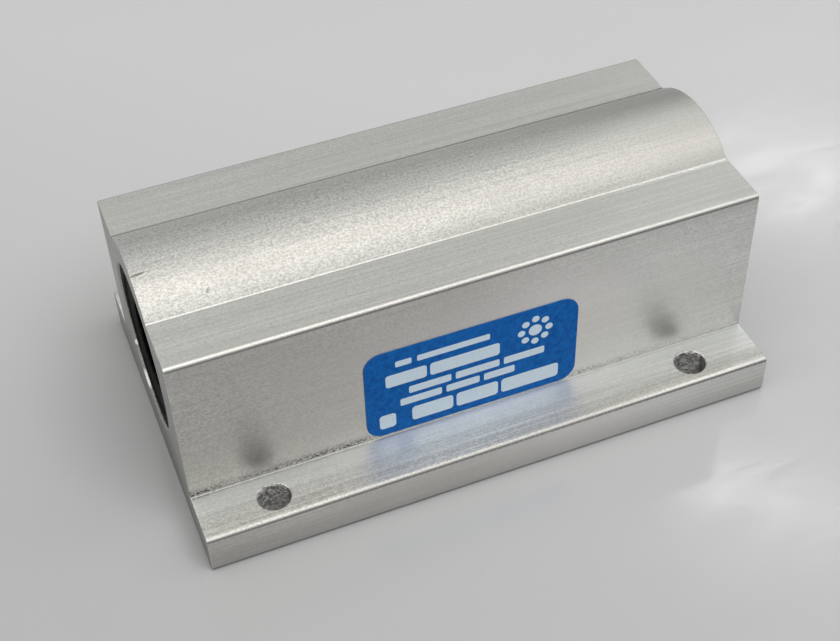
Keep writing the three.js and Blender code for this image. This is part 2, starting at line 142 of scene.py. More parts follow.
PLATE_GROOVE_RADIUS = BALL_RADIUS + 0.2 * MM
RETAINER_HALF_LENGTH = 17.75 * MM
RETAINER_INNER_RADIUS = 8.35 * MM
RETAINER_OUTER_RADIUS = 12.35 * MM
POCKET_HALF_LENGTH = 12 * MM
POCKET_HALF_ANGLE = 17.8 * DEGREE
POCKET_FLOOR_RADIUS = 9.45 * MM

# Label
LABEL_LOW, LABEL_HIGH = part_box("label")
LABEL_WIDTH = 38.1 * MM
LABEL_HEIGHT = 19.05 * MM
LABEL_CORNER = 3 * MM
LABEL_TILT = -0.36 * DEGREE
LABEL_THICKNESS = LABEL_HIGH.y - LABEL_LOW.y
INK_THICKNESS = 0.012 * MM

# Room light: (degrees up from behind the part to in front of it, level, warmth)
ROOM_LIGHT = (
    (0, 0.18, 0.0),
    (28, 0.28, 0.0),
    (48, 0.32, 0.0),
    (66, 0.40, 0.01),
    (80, 0.64, 0.03),
    (94, 0.96, 0.06),
    (108, 0.82, 0.03),
    (121, 0.54, 0.0),
    (136, 0.32, 0.0),
    (150, 0.16, 0.0),
    (164, 0.08, 0.0),
    (180, 0.07, 0.0),
)
ROOM_STRENGTH = 2.0
ROOM_RIGHT_SHARE = 0.6
ROOM_END_COLOR = (0.3, 0.3, 0.295)

# Camera, at the photograph's viewpoint
CAMERA_PLACE = (-67.8 * MM, -179.6 * MM, 195.0 * MM)
CAMERA_TURN = (45.812 * DEGREE, 1.682 * DEGREE, -21.806 * DEGREE)
CAMERA_LENS = 63.70


# ---------------- outlines


def steps(start, end, count):
    """Evenly spaced values from start to end, both included."""
    return [start + (end - start) * i / count for i in range(count + 1)]


def arc(centre, radius, start, end, count):
    """Points along an arc, both ends included."""
    return [
        (centre[0] + radius * math.cos(turn), centre[1] + radius * math.sin(turn))
        for turn in steps(start, end, count)
    ]


def circle(centre, radius, count):
    """Points evenly round a circle."""
    return arc(centre, radius, 0, FULL_TURN, count)[:-1]


def rounded(corners, count=4):
    """A closed outline through (u, v, radius) corners, each rounded to its radius."""
    points = []
    for i, (u, v, radius) in enumerate(corners):
        here = Vector((u, v))
        if not radius:
            points.append((u, v))
            continue
        back = (Vector(corners[i - 1][:2]) - here).normalized()
        on = (Vector(corners[(i + 1) % len(corners)][:2]) - here).normalized()
        half = back.angle(on) / 2
        centre = here + (back + on).normalized() * radius / math.sin(half)
        first = here + back * radius / math.tan(half) - centre
        last = here + on * radius / math.tan(half) - centre
        start = math.atan2(first.y, first.x)
        sweep = math.atan2(first.x * last.y - first.y * last.x, first.dot(last))
        points += arc(centre, radius, start, start + sweep, count)
    return points


def polar(x, radius, turn):
    """A point at an angle round the X axis."""
    return Vector((x, radius * math.cos(turn), radius * math.sin(turn)))


def inset(points, depth):
    """A closed anticlockwise outline moved inwards by a depth."""
    moved = []
    for i, (u, v) in enumerate(points):
        before, after = points[i - 1], points[(i + 1) % len(points)]
        along = Vector((after[0] - before[0], after[1] - before[1])).normalized()
        moved.append((u - along.y * depth, v + along.x * depth))
    return moved


# ---------------- meshes


def add_object(name, data):
    """A new object in the scene, from its mesh, light or camera."""
    made = bpy.data.objects.new(name, data)
    bpy.context.scene.collection.objects.link(made)
    return made


def new_object(name, vertices, faces):
    """An object from vertices and faces, with its faces turned outwards."""
    mesh = bpy.data.meshes.new(name)
    mesh.from_pydata([tuple(vertex) for vertex in vertices], [], faces)
    work = bmesh.new()
    work.from_mesh(mesh)
    bmesh.ops.recalc_face_normals(work, faces=work.faces)
    work.to_mesh(mesh)
    work.free()
    return add_object(name, mesh)


def joined_rings(rings, closed=False):
    """The vertices and faces of a skin over rings of equal length, capped where it is open."""
    count = len(rings[0])
    vertices = [point for ring in rings for point in ring]
    faces = []
    for i in range(len(rings) if closed else len(rings) - 1):
        near, far = i * count, (i + 1) % len(rings) * count
        for j in range(count):
            k = (j + 1) % count
            faces.append((near + j, near + k, far + k, far + j))
    if not closed:
        faces.append(tuple(range(count))[::-1])
        faces.append(tuple(range(len(vertices) - count, len(vertices))))
    return vertices, faces


def extruded(name, outline, start, end, edge, count=3):
    """A prism along X over a (y, z) outline, with rounded end edges."""
    rings = []
    for turn in steps(0, QUARTER_TURN, count):
        depth = edge * (1 - math.sin(turn))
        x = start + edge * (1 - math.cos(turn))
        rings.append([(x, y, z) for y, z in inset(outline, depth)])
    mirrored = [[(start + end - x, y, z) for x, y, z in ring] for ring in reversed(rings)]
    return new_object(name, *joined_rings(rings + mirrored))


def turned(name, outline, count=128):
    """A ring round the X axis over a closed (x, radius) outline."""
    turns = steps(0, FULL_TURN, count)[:-1]
    rings = [[polar(x, radius, turn) for x, radius in outline] for turn in turns]
    return new_object(name, *joined_rings(rings, closed=True))


def tube(name, half_length, inner, outer, edge, count=128):
    """A ring round the X axis with a rectangular section and rounded edges."""
    end = half_length
    corners = [(-end, outer, edge), (-end, inner, edge), (end, inner, edge), (end, outer, edge)]
    return turned(name, rounded(corners, 4), count)


def turned_plug(name, outline, count=128):
    """A solid round the X axis over an open (x, radius) outline, with flat ends."""
    turns = steps(0, FULL_TURN, count)[:-1]
    rings = [[polar(x, radius, turn) for turn in turns] for x, radius in outline]
    return new_object(name, *joined_rings(rings))


def move(piece, place=(0, 0, 0), turn=(0, 0, 0)):
    """Turns a piece's mesh about X, Y and Z, then moves it, leaving its object at the origin."""
    spin = Matrix.Rotation(turn[2], 4, "Z") @ Matrix.Rotation(turn[1], 4, "Y")
    spin = spin @ Matrix.Rotation(turn[0], 4, "X")
    piece.data.transform(Matrix.Translation(place) @ spin)
    return piece


def carve(piece, cutters):
    """Cuts the cutters out of a piece and throws them away."""
    for cutter in cutters:
        cut = piece.modifiers.new("cut", "BOOLEAN")
        cut.operation = "DIFFERENCE"
        cut.solver = "MANIFOLD"
        cut.object = cutter
    bpy.context.view_layer.update()
    graph = bpy.context.evaluated_depsgraph_get()
    result = bpy.data.meshes.new_from_object(piece.evaluated_get(graph))
    piece.modifiers.clear()
    piece.data = result
    for cutter in cutters:
        bpy.data.objects.remove(cutter)
    return piece


def shade(piece, angle=32):
    """Smooth shading that keeps flat faces flat and edges sharper than the angle sharp."""
    mesh = piece.data
    mesh.shade_smooth()
    mesh.set_sharp_from_angle(angle=angle * DEGREE)
    weighted = piece.modifiers.new("even_shading", "WEIGHTED_NORMAL")
    weighted.keep_sharp = True
    weighted.weight = 80
    return piece


def settle(piece, material, slot, body, *nodes):
    """Gives a finished piece its material, its body and the nodes it replaces. The slot is not used."""
    piece.data.materials.clear()
    piece.data.materials.append(material)
    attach(piece, body)
    if nodes:
        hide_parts(*nodes)


# ---------------- material nodes


def socket(tree, entry, value):
    """Sets a node's input to a value, or links another node's output to it."""
    if isinstance(value, bpy.types.NodeSocket):
        tree.links.new(value, entry)
    elif isinstance(value, tuple) and len(value) == 3 and entry.type == "RGBA":
        entry.default_value = (*value, 1)
    else:
        entry.default_value = value


def node(tree, kind, inputs=(), **settings):
    """A new node with its settings, and its inputs given by name or number."""
    made = tree.nodes.new("ShaderNode" + kind)
    for key, value in settings.items():
        setattr(made, key, value)
    for key, value in dict(inputs).items():
        socket(tree, made.inputs[key], value)
    return made


def calc(tree, operation, first, *others):
    """One number worked out from others, taken in turn."""
    for other in others or (0.0,):
        first = node(tree, "Math", {0: first, 1: other}, operation=operation).outputs[0]
    return first


def blend(tree, share, first, second):
    """A colour between two others."""
    return node(tree, "Mix", {0: share, 6: first, 7: second}, data_type="RGBA").outputs[2]


def layered(tree, base, *layers):
    """A colour with others laid over it in turn, each given as its share and its colour."""
    for share, color in layers:
        base = blend(tree, share, base, color)
    return base


def remap(tree, value, low, high, new_low=0.0, new_high=1.0):
    """A number moved from one range to another, and kept inside it."""
    inputs = {"Value": value, 1: low, 2: high, 3: new_low, 4: new_high}
    return node(tree, "MapRange", inputs, clamp=True).outputs[0]


def place(tree):
    """The point being shaded, in metres, as it moves with its piece."""
    return node(tree, "TexCoord").outputs["Object"]


def noise(tree, scale, detail=2.0, rough=0.5, warp=0.0):
    """Noise with a number of features per metre, the same or its own along X, Y and Z."""
    per_metre = scale if isinstance(scale, tuple) else (scale, scale, scale)
    stretched = node(tree, "VectorMath", {0: place(tree), 1: per_metre}, operation="MULTIPLY")
    point = stretched.outputs[0]
    inputs = dict(Vector=point, Scale=1.0, Detail=detail, Roughness=rough, Distortion=warp)
    return node(tree, "TexNoise", inputs).outputs[0]


def bump(tree, height, distance, strength=1.0, normal=None):
    """A normal tilted by a height, which is a share of a distance in metres."""
    inputs = {"Height": height, "Distance": distance, "Strength": strength}
    if normal is not None:
        inputs["Normal"] = normal
    return node(tree, "Bump", inputs).outputs[0]


def dress(material, **values):
    """Sets the inputs of a material's shader, named with underscores for spaces."""
    tree = material.node_tree
    shader = tree.nodes["Principled BSDF"]
    for key, value in values.items():
        socket(tree, shader.inputs[key.replace("_", " ")], value)
    return material


def new_material(name, **values):
    """A material with its shader's plain inputs set, and its node tree."""
    material = bpy.data.materials.new(name)
    material.use_nodes = True
    dress(material, **values)
    return material, material.node_tree


def band(tree, value, middle, width):
    """1 where a value is at a middle, falling smoothly to 0 at a width away from it."""
    away = calc(tree, "ABSOLUTE", calc(tree, "SUBTRACT", value, middle))
    return remap(tree, away, 0.0, width, 1.0, 0.0)


def length(tree, vector):
    """How long a vector is."""
    return node(tree, "VectorMath", {0: vector}, operation="LENGTH").outputs["Value"]


def distance(tree, across, up):
    """How far a point is from an axis, from its two offsets."""
    return length(tree, node(tree, "CombineXYZ", {0: across, 1: up}).outputs[0])


def largest(tree, *values):
    """The largest of several numbers."""
    return calc(tree, "MAXIMUM", *values)


def product(tree, *values):
    """Several numbers multiplied together."""
    return calc(tree, "MULTIPLY", *values)


def spot(tree, centre, size, turn=0.0):
    """1 at a centre, falling to 0 at the edge of an ellipsoid of a size, turned about Z."""
    inputs = dict(Vector=place(tree), Location=centre, Rotation=(0.0, 0.0, turn), Scale=size)
    away = node(tree, "Mapping", inputs, vector_type="TEXTURE").outputs[0]
    return remap(tree, length(tree, away), 0.55, 1.0, 1.0, 0.0)


# ---------------- materials


class HousingPoint:
    """The point of the housing being shaded, the way it faces, and the noises in its metal."""

    def __init__(self, tree):
        self.x, self.y, self.z = node(tree, "SeparateXYZ", {0: place(tree)}).outputs
        self.side = calc(tree, "ABSOLUTE", self.y)
        facing = node(tree, "NewGeometry").outputs["Normal"]
        right, back, up = node(tree, "SeparateXYZ", {0: facing}).outputs
        self.on_end = remap(tree, calc(tree, "ABSOLUTE", right), 0.9, 0.98)
        self.on_front = remap(tree, back, -0.95, -0.7, 1.0, 0.0)
        self.past_wall = calc(tree, "SUBTRACT", self.side, WALL_HALF_WIDTH)
        self.over_flange = calc(tree, "SUBTRACT", self.z, BASE_THICKNESS)
        self.on_flange = remap(tree, self.past_wall, 0.1 * MM, 0.5 * MM)
        off_wall = remap(tree, self.past_wall, 0.0, 0.2 * MM)
        self.on_flange_top = product(tree, off_wall, remap(tree, up, 0.7, 0.95))
        self.lines = noise(tree, (9.0, 3200.0, 3200.0), detail=3.0, rough=0.65)
        self.streaks = noise(tree, (22.0, 1900.0, 1900.0), detail=3.0, rough=0.6)
        self.grain = noise(tree, (2300.0, 3200.0, 3200.0), detail=3.0, rough=0.7)
        self.cloud = noise(tree, (45.0, 90.0, 90.0), detail=4.0, rough=0.6)
        self.tool_marks = noise(tree, (1500.0, 1500.0, 2600.0), detail=4.0, rough=0.7)
        self.saw = noise(tree, (60.0, 140.0, 5200.0), detail=4.0, rough=0.6, warp=0.3)
        self.from_shaft = distance(tree, self.y, calc(tree, "SUBTRACT", self.z, SHAFT_HEIGHT))
        self.machined = machined_mask(tree, self)


def machined_mask(tree, at):
    """1 in the bore and the bolt holes, 0 elsewhere on the housing."""
    soft = 0.01 * MM
    along = calc(tree, "SUBTRACT", calc(tree, "ABSOLUTE", at.x), HOLE_X)
    from_bolt = distance(tree, along, calc(tree, "SUBTRACT", at.side, HOLE_Y))
    return largest(
        tree,
        remap(tree, at.from_shaft, BORE_RADIUS + soft, BORE_RADIUS + 3 * soft, 1.0, 0.0),
        remap(tree, from_bolt, HOLE_RADIUS + soft, HOLE_RADIUS + 3 * soft, 1.0, 0.0),
    )


def near_line(tree, side, z, line, reach):
    """1 on a line along X at (y, z), falling to 0 at a reach from it."""
    away = distance(tree, calc(tree, "SUBTRACT", side, line[0]), calc(tree, "SUBTRACT", z, line[1]))
    return remap(tree, away, reach / 2, reach, 1.0, 0.0)


def polish_and_highlight_mask(tree, at):
    """1 along the long edges and the walls' feet, broken up by the grain: there the metal is polished
    and gets a painted highlight.
    """
    lines = (
        (WALL_HALF_WIDTH, SHOULDER_HEIGHT, 1.1 * LONG_EDGE),
        (BASE_HALF_WIDTH, BASE_THICKNESS, 1.1 * LONG_EDGE),
        (VALLEY_Y + 0.1 * MM, SHOULDER_HEIGHT, 0.4 * MM),
        (WALL_HALF_WIDTH + 0.25 * MM, BASE_THICKNESS, 0.5 * MM),
    )
    near = [near_line(tree, at.side, at.z, (y, z), reach) for y, z, reach in lines]
    return product(tree, largest(tree, *near), remap(tree, at.grain, 0.3, 0.5, 0.55, 1.0))


def dirt_and_contact_shade_mask(tree, at):
    """1 in the rear valley and round the bottom edges: painted contact shade there, with some dirt."""
    valley = near_line(tree, at.y, at.z, (VALLEY_Y - 0.1 * MM, SHOULDER_HEIGHT), 0.55 * MM)
    bottom = remap(tree, at.z, 0.3 * MM, 0.95 * MM, 1.0, 0.0)
    return largest(tree, product(tree, valley, 0.5), product(tree, bottom, 0.95))


def grime_mask(tree, at):
    """Specks of dark grime where the front wall meets the flange, thickest at the left."""
    patches = noise(tree, 260.0, detail=3.0)
    specks = noise(tree, (2100.0, 2100.0, 2900.0), detail=3.0, rough=0.8)
    return product(
        tree,
        remap(tree, at.y, 0.15 * MM - WALL_HALF_WIDTH, 0.05 * MM - WALL_HALF_WIDTH),
        remap(tree, at.over_flange, 0.1 * MM, 0.3 * MM),
        remap(tree, at.over_flange, 0.7 * MM, 1.9 * MM, 1.0, 0.0),
        remap(tree, patches, 0.35, 0.6, 0.55, 1.0),
        remap(tree, specks, 0.44, 0.57, 0.0, 1.0),
        remap(tree, at.x, 5 * MM, 35 * MM, 1.0, 0.25),
    )


def nick_mask(tree):
    """A dark nick at the barrel's left end and small smudges beside it."""
    nick = spot(tree, *BARREL_NICK, 0.12)
    smudge = spot(tree, *BARREL_SMUDGE, 0.5)
    crumbs = remap(tree, noise(tree, 2600.0, detail=3.0), 0.4, 0.6)
    return product(tree, largest(tree, nick, product(tree, smudge, crumbs)), 0.6)


def glint_mask(tree, at):
    """1 where painted glints go: in the bolt holes, under their rims and on the bore's left edge."""
    in_hole = product(tree, at.machined, remap(tree, at.past_wall, 0.0, 0.5 * MM))
    # Painted glints over the torn walls of the holes, brightest near their rims.
    torn = product(
        tree,
        in_hole,
        remap(tree, at.over_flange, -1.3 * MM, -0.2 * MM, 0.35, 0.9),
        remap(tree, at.tool_marks, 0.46, 0.58, 0.15, 1.0),
    )
    near, far = HOLE_Y - 0.95 * HOLE_RADIUS, HOLE_Y - 0.6 * HOLE_RADIUS
    spark = product(
        tree,
        in_hole,
        remap(tree, at.side, near, far, 1.0, 0.0),
        remap(tree, at.over_flange, -0.7 * MM, -0.4 * MM),
        remap(tree, at.tool_marks, 0.45, 0.5),
    )
    # Painted glints on the bore's left edge.
    rubbed = largest(tree, spot(tree, *BORE_GLINT_EDGE), spot(tree, *BORE_GLINT_SPOT))
    off_end = remap(tree, at.on_end, 0.0, 0.5, 1.0, 0.0)
    return largest(tree, torn, spark, product(tree, rubbed, off_end))


def painted_sheen_mask(tree, at):
    """A painted pale sheen along the middle of the flanges, by the walls."""
    near_wall = remap(tree, at.past_wall, 0.5 * MM, 5 * MM, 0.3, 0.0)
    broken = remap(tree, at.streaks, 0.4, 0.6, 0.5, 1.0)
    return product(tree, at.on_flange_top, band(tree, at.x, 0.0, 34 * MM), near_wall, broken)


def streak_strength(tree, at):
    """How strongly the long streaks show: least on the barrel, most on the flanges."""
    on_wall = remap(tree, at.past_wall, -0.3 * MM, 0.0, 0.25, 0.45)
    return calc(tree, "ADD", on_wall, product(tree, at.on_flange, 0.5))


def grain_strength(tree, at):
    """How strongly the grain shows: most on the barrel and walls, and less to the right."""
    inner = remap(tree, at.side, VALLEY_Y - 0.5 * MM, VALLEY_Y + 0.5 * MM, 1.0, 0.4)
    outer = remap(tree, at.past_wall, -0.4 * MM, -0.1 * MM, 0.0, 0.75)
    strength = calc(tree, "ADD", inner, outer, product(tree, at.on_flange, -0.35))
    return product(tree, strength, remap(tree, at.x, 0.0, 45 * MM, 1.0, 0.6))


def extruded_color(tree, at):
    """The drawn metal's own tone, with its lines, streaks, grain and slow clouds."""
    streaky = streak_strength(tree, at)
    centred = remap(tree, at.grain, 0.38, 0.62, -0.5, 0.5)
    coarse = product(tree, centred, grain_strength(tree, at))
    return layered(
        tree,
        (0.61, 0.615, 0.59),
        (remap(tree, at.lines, 0.3, 0.7), (0.79, 0.80, 0.765)),
        (product(tree, remap(tree, at.streaks, 0.44, 0.64, 0.0, 0.55), streaky), (0.36, 0.36, 0.34)),
        (product(tree, remap(tree, at.streaks, 0.52, 0.36, 0.0, 0.5), streaky), (0.97, 0.97, 0.94)),
        (remap(tree, coarse, -0.5, 0.0, 0.62, 0.0), (0.38, 0.38, 0.365)),
        (remap(tree, coarse, 0.0, 0.5, 0.0, 0.62), (0.96, 0.97, 0.94)),
        (remap(tree, at.cloud, 0.4, 0.75, 0.0, 0.5), (0.60, 0.605, 0.575)),
    )


def painted_light_zones(tree, at, base):
    """Painted light and shade in large zones: the flanges lit near the walls, a lit patch on the front
    wall, and painted shade on the right of the barrel and shoulders, the left of the front wall and the
    foot of the front.
    """
    flange_width = BASE_HALF_WIDTH - WALL_HALF_WIDTH
    near_wall = remap(tree, at.past_wall, 1 * MM, flange_width - 1 * MM, 0.65, 0.0)
    lit_front = product(
        tree,
        at.on_front,
        band(tree, at.x, 12 * MM, 60 * MM),
        remap(tree, at.z, 38 * MM, 28 * MM, 0.3, 0.9),
    )
    shaded_barrel_right = product(
        tree,
        remap(tree, at.side, VALLEY_Y - 0.5 * MM, VALLEY_Y, 1.0, 0.4),
        remap(tree, at.z, SHOULDER_HEIGHT - 2 * MM, SHOULDER_HEIGHT - 1 * MM),
        remap(tree, at.x, 5 * MM, 48 * MM, 0.0, 0.6),
    )
    shaded_front_left = product(tree, at.on_front, remap(tree, at.x, -5 * MM, 30 * MM, 0.5, 0.0))
    shaded_front_foot = product(tree, at.on_front, remap(tree, at.z, 6.5 * MM, 1 * MM, 0.0, 0.55))
    return layered(
        tree,
        base,
        (product(tree, at.on_flange_top, near_wall), (0.93, 0.98, 0.98)),
        (lit_front, (0.97, 0.96, 0.94)),
        (shaded_barrel_right, (0.52, 0.525, 0.50)),
        (shaded_front_left, (0.60, 0.56, 0.53)),
        (shaded_front_foot, (0.42, 0.42, 0.40)),
    )


def machined_color(tree, at, base):
    """Torn metal in the bore and holes, and painted shade on the chamfer round the bore."""
    torn = remap(tree, at.tool_marks, 0.42, 0.6)
    inside = blend(tree, torn, (0.42, 0.415, 0.40), (1.0, 1.0, 0.98))
    near_chamfer = band(tree, at.from_shaft, BORE_RADIUS + BORE_CHAMFER / 2, BORE_CHAMFER)
    # Painted shade darkens the bore's chamfer.
    chamfer = remap(tree, near_chamfer, 0.3, 0.5, 0.0, 0.7)
    return layered(tree, base, (at.machined, inside), (chamfer, (0.30, 0.30, 0.28)))


def sawn_and_shaded_ends(tree, at, base):
    """Saw-cut ends with their own saw marks, darkened as painted shade, most of all low down."""
    tone = blend(tree, remap(tree, at.saw, 0.35, 0.65), (0.24, 0.24, 0.225), (0.48, 0.48, 0.46))
    # Painted shade, darker towards the bottom of the ends.
    low = product(tree, at.on_end, remap(tree, at.z, 22 * MM, 3 * MM, 0.0, 0.45))
    return layered(tree, base, (product(tree, at.on_end, 0.85), tone), (low, (0.12, 0.12, 0.11)))


def aluminium_normal(tree, at):
    """Fine lines and grain along the metal, saw marks on its ends, and torn machined walls."""
    along = bump(tree, at.lines, 0.012 * MM, 0.6)
    along = bump(tree, at.grain, 0.012 * MM, 0.6, along)
    sawn = bump(tree, at.saw, 0.03 * MM, 0.8)
    torn = bump(tree, at.tool_marks, 0.2 * MM, 1.0)
    normal = node(tree, "Mix", {0: at.on_end, 4: along, 5: sawn}, data_type="VECTOR").outputs[1]
    return node(tree, "Mix", {0: at.machined, 4: normal, 5: torn}, data_type="VECTOR").outputs[1]


def aluminium():
    """Satin extruded aluminium: grain and fine lines along X, sawn ends, machined holes, and painted
    highlights, glints, sheen and shade.
    """
    material, tree = new_material("extruded_aluminium", Metallic=1.0)
    at = HousingPoint(tree)
    edges = polish_and_highlight_mask(tree, at)
    grime = grime_mask(tree, at)
    glints = glint_mask(tree, at)
    # haze is a painted sheen on the flanges.
    haze = painted_sheen_mask(tree, at)

    base = painted_light_zones(tree, at, extruded_color(tree, at))
    # Painted highlights along the long edges and the walls' feet.
    base = layered(tree, base, (product(tree, edges, 0.25), (0.96, 0.96, 0.93)))
    base = machined_color(tree, at, base)
    # Painted glints in the holes and on the bore's edge, and a painted sheen on the flanges.
    base = layered(tree, base, (glints, (1.0, 1.0, 0.98)), (haze, (0.97, 0.98, 0.99)))
    base = layered(
        tree,
        # Painted shade on the saw-cut ends.
        sawn_and_shaded_ends(tree, at, base),
        # Painted contact shade, with some dirt, in the rear valley and along the bottom edges.
        (dirt_and_contact_shade_mask(tree, at), (0.06, 0.057, 0.05)),
        (grime, (0.09, 0.075, 0.06)),
        (nick_mask(tree), (0.06, 0.06, 0.055)),
    )

    rough = remap(tree, at.cloud, 0.3, 0.7, 0.36, 0.42)
    for share, amount in ((at.on_flange_top, 0.13), (edges, -0.16), (at.machined, -0.12), (grime, 0.3)):
        rough = calc(tree, "ADD", rough, product(tree, share, amount))

    # The painted glints and sheen are not metal.
    painted_light_share = calc(tree, "ADD", glints, haze)
    return dress(
        material,
        Base_Color=base,
        Roughness=rough,
        Metallic=calc(tree, "SUBTRACT", 1.0, painted_light_share),
        Anisotropic=remap(tree, at.machined, 0.0, 1.0, 0.5, 0.0),
        Normal=aluminium_normal(tree, at),
        Tangent=node(tree, "Tangent", direction_type="RADIAL", axis="X").outputs[0],
    )


def label_film():
    """Blue printed film."""
    material, tree = new_material("blue_label_film", Roughness=0.5, Specular_IOR_Level=0.12)
    mottle = noise(tree, 900.0, detail=4.0, rough=0.7)
    fade = noise(tree, (60.0, 60.0, 80.0), detail=2.0)
    patchy = remap(tree, mottle, 0.35, 0.65)
    color = layered(
        tree,
        (0.0, 0.062, 0.26),
        (patchy, (0.003, 0.125, 0.44)),
        (remap(tree, fade, 0.4, 0.8, 0.0, 0.4), (0.004, 0.12, 0.42)),
    )
    return dress(material, Base_Color=color, Normal=bump(tree, mottle, 0.01 * MM, 0.4))


def label_ink():
    """White printed marks, a little worn."""
    material, tree = new_material("white_label_ink", Roughness=0.5, Specular_IOR_Level=0.2)
    wear = noise(tree, 1400.0, detail=4.0, rough=0.7)
    worn = remap(tree, wear, 0.55, 0.75, 0.0, 0.5)
    color = blend(tree, worn, (0.56, 0.67, 0.76), (0.25, 0.40, 0.56))
    return dress(material, Base_Color=color, Normal=bump(tree, wear, 0.006 * MM, 0.4))


def seal_rubber():
    """Moulded black rubber with a faint dusty bloom."""
    material, tree = new_material("seal_rubber", Specular_IOR_Level=0.05)
    skin = noise(tree, 2600.0, detail=3.0)
    dust = noise(tree, 500.0, detail=4.0, rough=0.7)
    dusty = remap(tree, dust, 0.55, 0.8, 0.0, 0.6)
    return dress(
        material,
        Base_Color=blend(tree, dusty, (0.006, 0.006, 0.0065), (0.06, 0.06, 0.058)),
        Roughness=remap(tree, dust, 0.3, 0.7, 0.55, 0.7),
        Normal=bump(tree, skin, 0.012 * MM, 0.6),
    )


def spring_steel():
    """Dark phosphated spring steel, brighter where its surface has been rubbed."""
    material, tree = new_material("spring_steel", Metallic=1.0)
    scale = noise(tree, 1800.0, detail=4.0, rough=0.7)
    rubbed = remap(tree, noise(tree, 300.0, detail=3.0), 0.45, 0.75)
    return dress(
        material,
        Base_Color=blend(tree, rubbed, (0.12, 0.12, 0.125), (0.3, 0.29, 0.28)),
        Roughness=remap(tree, scale, 0.3, 0.7, 0.32, 0.55),
        Normal=bump(tree, scale, 0.01 * MM, 0.5),
    )


def ground_steel():
    """Ground hardened steel, with fine grinding lines round the shaft's axis."""
    material, tree = new_material("ground_race_steel", Metallic=1.0)
    lines = noise(tree, (9000.0, 160.0, 160.0), detail=3.0, rough=0.6)
    stain = remap(tree, noise(tree, 140.0, detail=3.0), 0.4, 0.75)
    return dress(
        material,
        Base_Color=blend(tree, stain, (0.56, 0.56, 0.57), (0.47, 0.46, 0.45)),
        Roughness=remap(tree, lines, 0.3, 0.7, 0.18, 0.34),
        Normal=bump(tree, lines, 0.003 * MM, 0.6),
    )


def ball_steel():
    """Polished bearing steel under a thin film of oil."""
    material, tree = new_material(
        "polished_ball_steel", Metallic=1.0, Coat_Weight=0.25, Coat_Roughness=0.05
    )
    haze = noise(tree, 1100.0, detail=3.0)
    hazy = remap(tree, haze, 0.4, 0.7)
    return dress(
        material,
        Base_Color=blend(tree, hazy, (0.66, 0.665, 0.67), (0.58, 0.58, 0.585)),
        Roughness=remap(tree, haze, 0.3, 0.75, 0.05, 0.16),
    )


def polymer(name, dark, light, roughness):
    """Moulded polymer with a fine moulded skin and slow changes of tone."""
    material, tree = new_material(name, Specular_IOR_Level=0.45)
    tone = noise(tree, 120.0, detail=3.0)
    skin = noise(tree, 3500.0, detail=2.0)
    return dress(
        material,
        Base_Color=blend(tree, remap(tree, tone, 0.35, 0.7), dark, light),
        Roughness=remap(tree, tone, 0.3, 0.7, roughness - 0.06, roughness + 0.06),
        Normal=bump(tree, skin, 0.008 * MM, 0.4),
    )


def table_top():
    """A pale, slightly glossy table top, with painted light making it lighter towards its far right."""
    material, tree = new_material("pale_table_top", Specular_IOR_Level=0.5)
    x, y, _ = node(tree, "SeparateXYZ", {0: place(tree)}).outputs
    far = calc(tree, "ADD", product(tree, x, 0.6), product(tree, y, 0.8))
    specks = noise(tree, 520.0, detail=4.0, rough=0.7)
    waves = noise(tree, (30.0, 75.0, 50.0), detail=4.0, rough=0.6, warp=0.6)
    color = layered(
        tree,
        (0.32, 0.324, 0.328),
        # Painted light: lighter towards the far right.
        (remap(tree, far, -0.10, 0.08), (0.43, 0.437, 0.444)),
        (remap(tree, specks, 0.22, 0.34, 0.25, 0.0), (0.2, 0.2, 0.2)),
    )
    return dress(
        material,
        Base_Color=color,
        Roughness=remap(tree, waves, 0.35, 0.65, 0.10, 0.2),
        Normal=bump(tree, waves, 0.12 * MM, 0.5),
    )


# ---------------- housing and label


def housing_section():
    """The extrusion's outline in Y and Z, anticlockwise, with its edges and valleys rounded."""
    # The valley's own arc touches the flat shoulder below it and the barrel beside it.
    lift = SHOULDER_HEIGHT - BARREL_HEIGHT + VALLEY_EDGE
    reach = math.sqrt((BARREL_RADIUS + VALLEY_EDGE) ** 2 - lift**2)
    meet = math.atan2(lift, reach)
    corners = [
        (0.0, 0.0, 0.0),
        (BASE_HALF_WIDTH, 0.0, LONG_EDGE),
        (BASE_HALF_WIDTH, BASE_THICKNESS, LONG_EDGE),
        (WALL_HALF_WIDTH, BASE_THICKNESS, WALL_FILLET),
        (WALL_HALF_WIDTH, SHOULDER_HEIGHT, LONG_EDGE),
        (reach, SHOULDER_HEIGHT, 0.0),
    ]
    right = rounded(corners, 5)[1:-1]
    right += arc((reach, BARREL_HEIGHT + lift), VALLEY_EDGE, -QUARTER_TURN, meet - HALF_TURN, 5)
    right += arc((0.0, BARREL_HEIGHT), BARREL_RADIUS, meet, QUARTER_TURN, 40)[1:]
    left = [(-y, z) for y, z in reversed(right[:-1])]
    return right + left


def bore_cutter():
    """The through bore, with its end chamfers and snap ring grooves."""
    past, end = 1 * MM, HALF_LENGTH
    wide = BORE_RADIUS + BORE_CHAMFER + past
    outline = [(-end - past, wide), (-end + BORE_CHAMFER, BORE_RADIUS)]
    for low, high in RING_BOXES:
        start, stop = low.x - RING_CLEARANCE, high.x + RING_CLEARANCE
        outline += [
            (start, BORE_RADIUS),
            (start, GROOVE_RADIUS),
            (stop, GROOVE_RADIUS),
            (stop, BORE_RADIUS),
        ]
    outline += [(end - BORE_CHAMFER, BORE_RADIUS), (end + past, wide)]
    return move(turned_plug("bore_cutter", outline, 144), (0, 0, SHAFT_HEIGHT))


